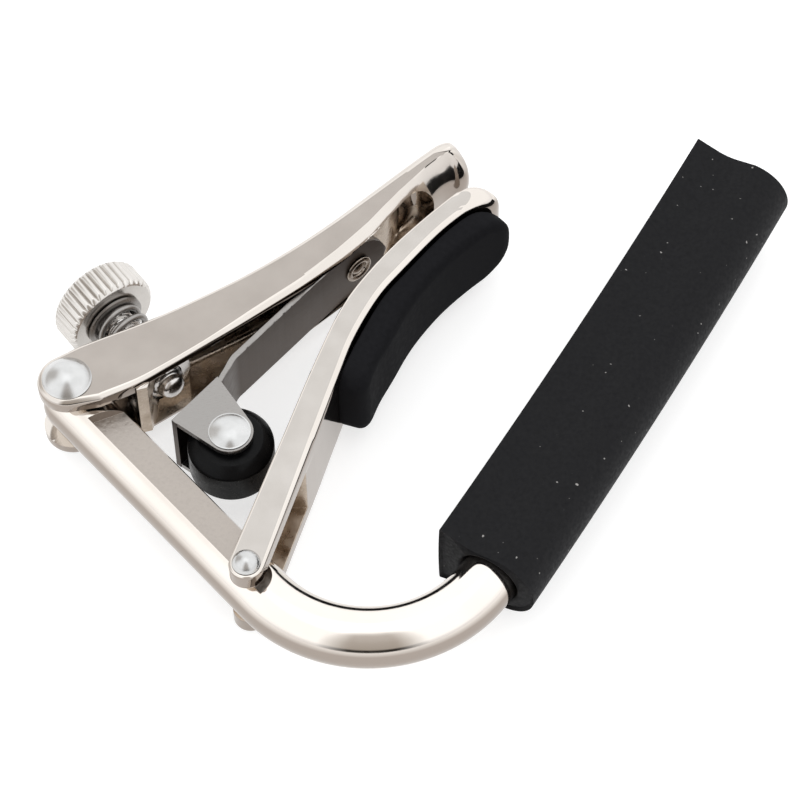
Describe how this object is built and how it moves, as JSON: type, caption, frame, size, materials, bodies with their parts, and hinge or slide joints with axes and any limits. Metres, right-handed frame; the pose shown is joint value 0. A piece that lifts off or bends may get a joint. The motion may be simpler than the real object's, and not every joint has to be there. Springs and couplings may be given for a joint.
{
  "type": "guitar capo",
  "caption": "Clamp for a guitar neck: bent round bar with a rubber sleeve, padded arm, and a channel lever with a sprung roller and a knurled adjusting screw.",
  "frame": {"origin": "middle of the whole capo's bounding box, at rest", "axes": "the capo lies in the XY plane, +X from the lever's pivot towards the sleeve's far end, +Y from the bend towards the open end, +Z along the pivot rivets"},
  "size_m": [0.0802, 0.0626, 0.0136],
  "materials": {
    "nickel": "polished nickel plate",
    "rivet": "bright nickel-plated steel",
    "stainless": "satin stainless steel",
    "knob": "nickel plate over straight knurling",
    "rubber": "matte black rubber",
    "plastic": "smooth black nylon"
  },
  "bodies": {
    "frame": {"frame_rod": "nickel", "string_sleeve": "rubber", "lever_pivot_rivet": "rivet", "arm_pivot_rivet": "rivet"},
    "arm": {"clamp_arm": "nickel", "neck_pad": "rubber"},
    "lever": {"lever": "nickel", "screw_bushing": "rivet", "leaf_rivet": "rivet", "screw_spring": "stainless"},
    "bracket": {"roller_bracket": "stainless", "roller_axle": "rivet", "roller_bushing": "rivet"},
    "roller": {"roller": "plastic"},
    "screw_carrier": {"spring_washer": "stainless"},
    "thumbscrew": {"thumbscrew_shaft": "rivet", "thumbscrew_knob": "knob"}
  },
  "joints": [
    {"name": "lever_pivot", "type": "hinge", "parent": "frame", "child": "lever", "pos_m": [-0.03694, 0.00039, 0], "axis": [0, 0, 1], "range_deg": [0, 95]},
    {"name": "arm_pivot", "type": "hinge", "parent": "frame", "child": "arm", "pos_m": [-0.01817, -0.02237, 0], "axis": [0, 0, 1], "range_deg": [0, 20]},
    {"name": "leaf_flex", "type": "hinge", "parent": "lever", "child": "bracket", "pos_m": [-0.00651, 0.01692, 0], "axis": [0, 0, 1], "range_deg": [-2.5, 0], "stiffness_Nm_per_rad": 0.5},
    {"name": "roller_spin", "type": "hinge", "parent": "bracket", "child": "roller", "pos_m": [-0.02004, -0.00603, 0], "axis": [0, 0, 1], "continuous": true},
    {"name": "thumbscrew_travel", "type": "slide", "parent": "lever", "child": "screw_carrier", "axis": [0.5948, -0.8039, 0], "range_m": [0, 0.002], "deforming": ["screw_spring"]},
    {"name": "thumbscrew_spin", "type": "hinge", "parent": "screw_carrier", "child": "thumbscrew", "pos_m": [-0.03275, 0.01112, 0], "axis": [0.5948, -0.8039, 0], "range_deg": [0, 1029]}
  ],
  "couplings": [
    {"joint": "arm_pivot", "follows": "lever_pivot", "ratio": 0.2},
    {"joint": "thumbscrew_spin", "follows": "thumbscrew_travel", "rad_per_m": 8976}
  ]
}
